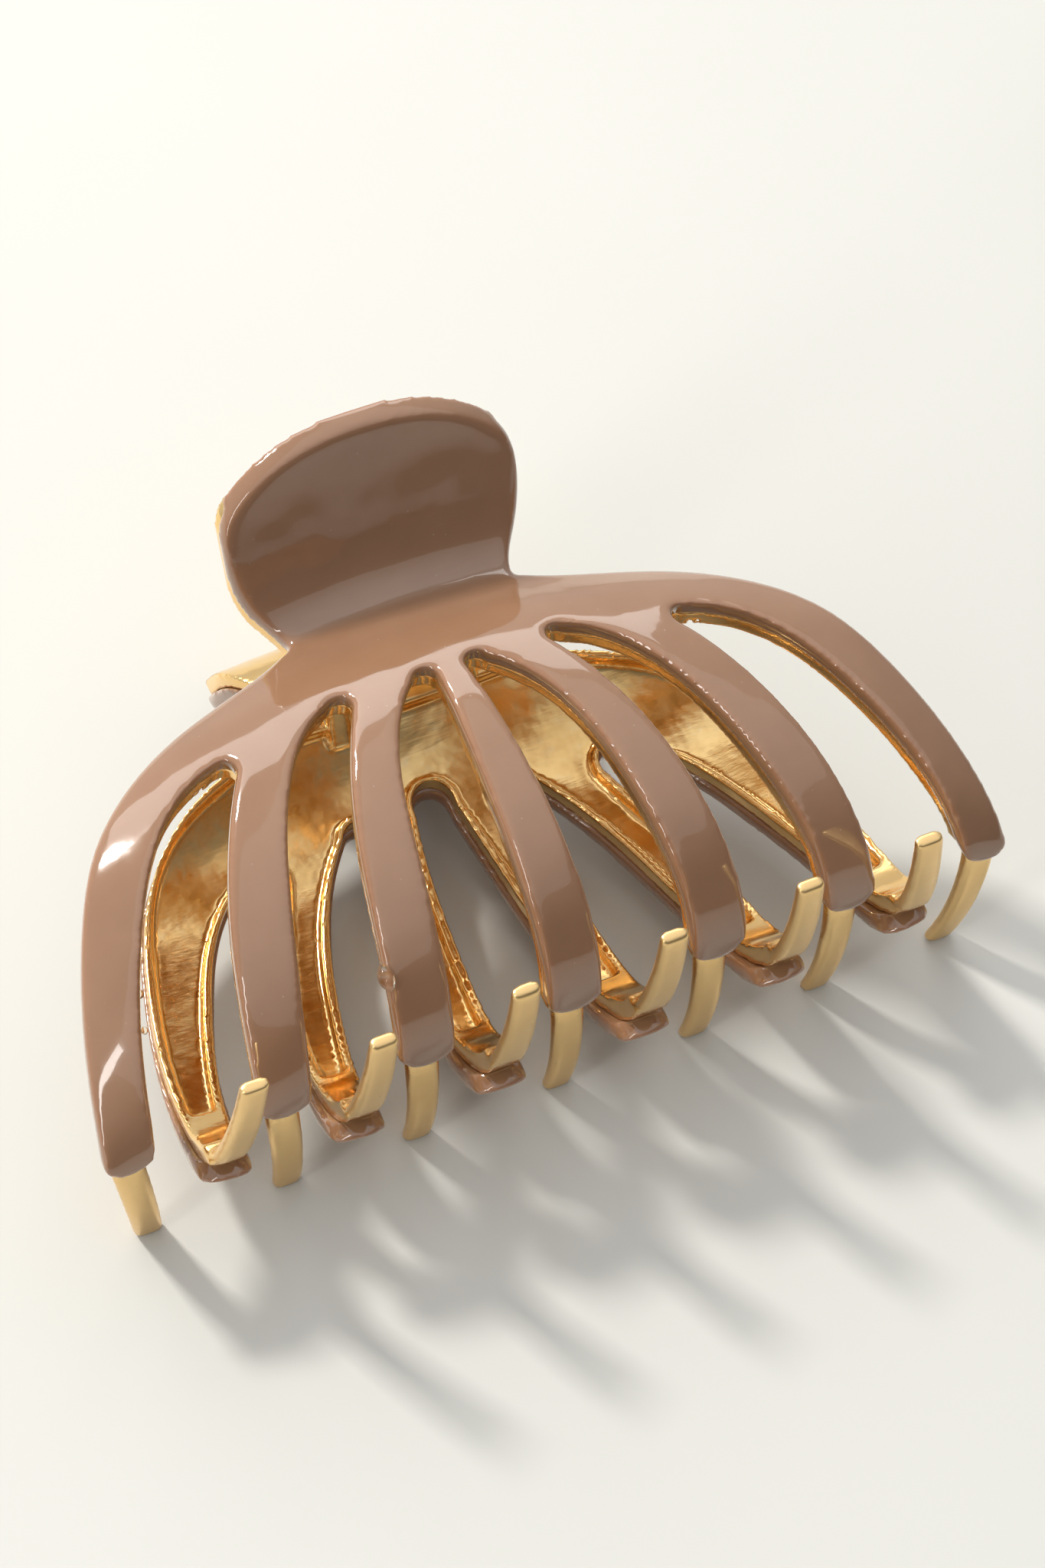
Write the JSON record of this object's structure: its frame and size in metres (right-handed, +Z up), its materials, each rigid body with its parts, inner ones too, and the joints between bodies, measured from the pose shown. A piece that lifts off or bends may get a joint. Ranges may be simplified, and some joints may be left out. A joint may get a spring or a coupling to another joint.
{
  "type": "claw clip",
  "caption": "Large metal claw hair clip: two arched, slotted jaws with resin enamel faces, hooked teeth, thumb tabs, and a sprung hinge at the neck.",
  "frame": {"origin": "centre of the bounding box's underside: the surface that the clip lies on", "axes": "+X along the hinge pin, +Z up from the surface, tooth tips towards -Y and thumb tabs towards +Y"},
  "size_m": [0.1062, 0.0688, 0.049],
  "materials": {
    "gold_casting": "satin gold plating on a die casting",
    "enamel": "glossy taupe-brown resin enamel",
    "pin_metal": "polished gold plating",
    "spring_wire": "drawn spring wire, gold plated"
  },
  "bodies": {
    "rear": {"rear_jaw": "gold_casting", "rear_enamel": "enamel", "hinge_pin": "pin_metal", "torsion_spring": "spring_wire"},
    "front": {"front_jaw": "gold_casting", "front_enamel": "enamel"}
  },
  "joints": [
    {"name": "jaw_hinge", "type": "hinge", "parent": "rear", "child": "front", "pos_m": [0, 0.01952, 0.02301], "axis": [-1, 0, 0], "range_deg": [0, 75], "stiffness_Nm_per_rad": 0.15, "springref_deg": -68.75, "deforming": ["torsion_spring"]}
  ]
}
